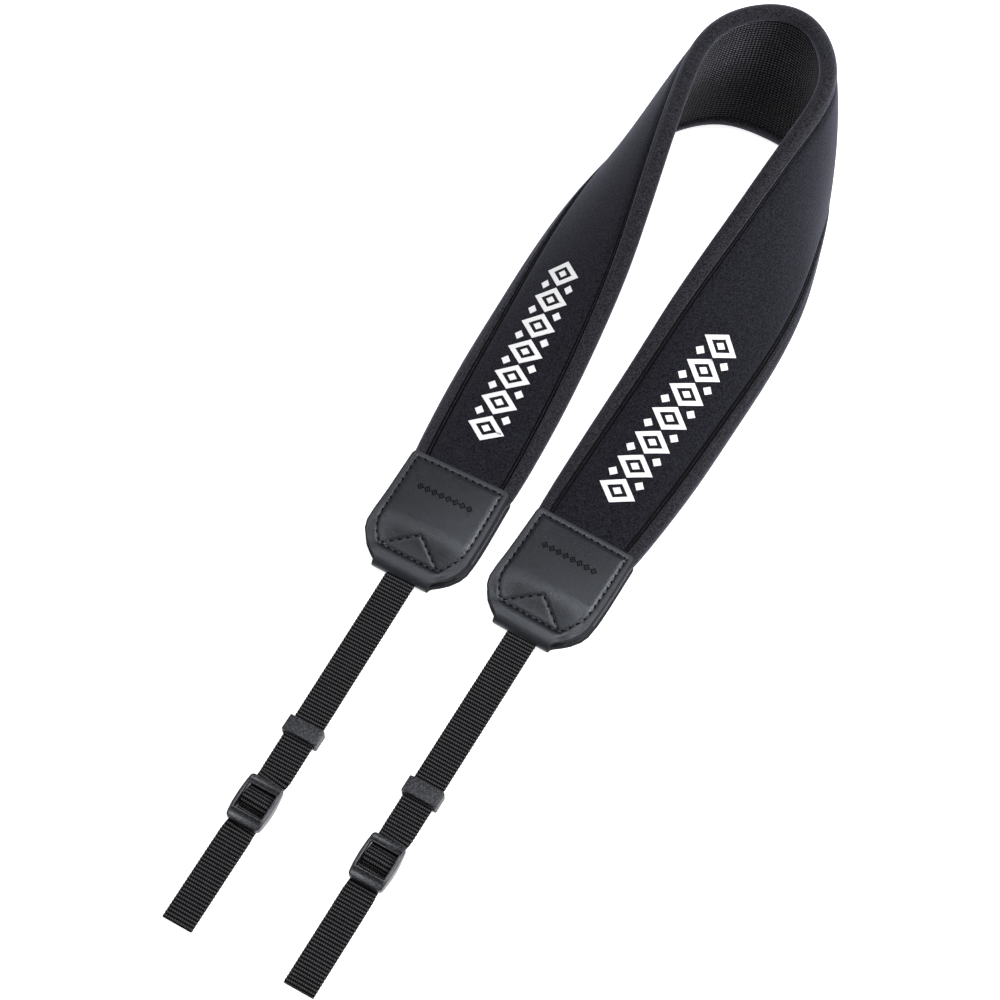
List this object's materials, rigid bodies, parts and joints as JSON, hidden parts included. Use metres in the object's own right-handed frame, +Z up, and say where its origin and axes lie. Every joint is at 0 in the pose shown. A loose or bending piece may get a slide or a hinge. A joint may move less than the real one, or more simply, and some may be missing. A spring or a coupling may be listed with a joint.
{
  "type": "camera neck strap",
  "caption": "Padded neck strap for a camera, bent round in a U, with folded leather ends, narrow webbing, sliding keepers and three-bar buckles.",
  "frame": {"origin": "middle of the strap's bounding box seen from above, on the surface that it lies on", "axes": "+Z up from the surface, +Y along the legs towards the bend, -Y towards the free webbing ends, +X across the legs, so that the node names left and right are as seen from above with the bend away from the viewer"},
  "size_m": [0.0826, 0.3211, 0.0514],
  "materials": {
    "neoprene": "matt knitted cloth over foam",
    "mesh_fabric": "matt open mesh",
    "leather": "satin, fine grain",
    "webbing": "matt ribbed weave",
    "keeper_plastic": "matt moulded",
    "buckle_plastic": "semi-gloss moulded"
  },
  "bodies": {
    "strap": {"neck_pad": "neoprene", "mesh_lining": "mesh_fabric", "leather_end_left": "leather", "leather_end_right": "leather", "webbing_left": "webbing", "webbing_right": "webbing", "buckle_left": "buckle_plastic", "buckle_right": "buckle_plastic"},
    "keeper_left": {"keeper_left": "keeper_plastic"},
    "keeper_right": {"keeper_right": "keeper_plastic"}
  },
  "joints": [
    {"name": "keeper_left_slide", "type": "slide", "parent": "strap", "child": "keeper_left", "axis": [-0.0154, 0.9999, 0], "range_m": [-0.0146, 0.0507]},
    {"name": "keeper_right_slide", "type": "slide", "parent": "strap", "child": "keeper_right", "axis": [0.0039, 1, 0], "range_m": [-0.0135, 0.0508]}
  ]
}
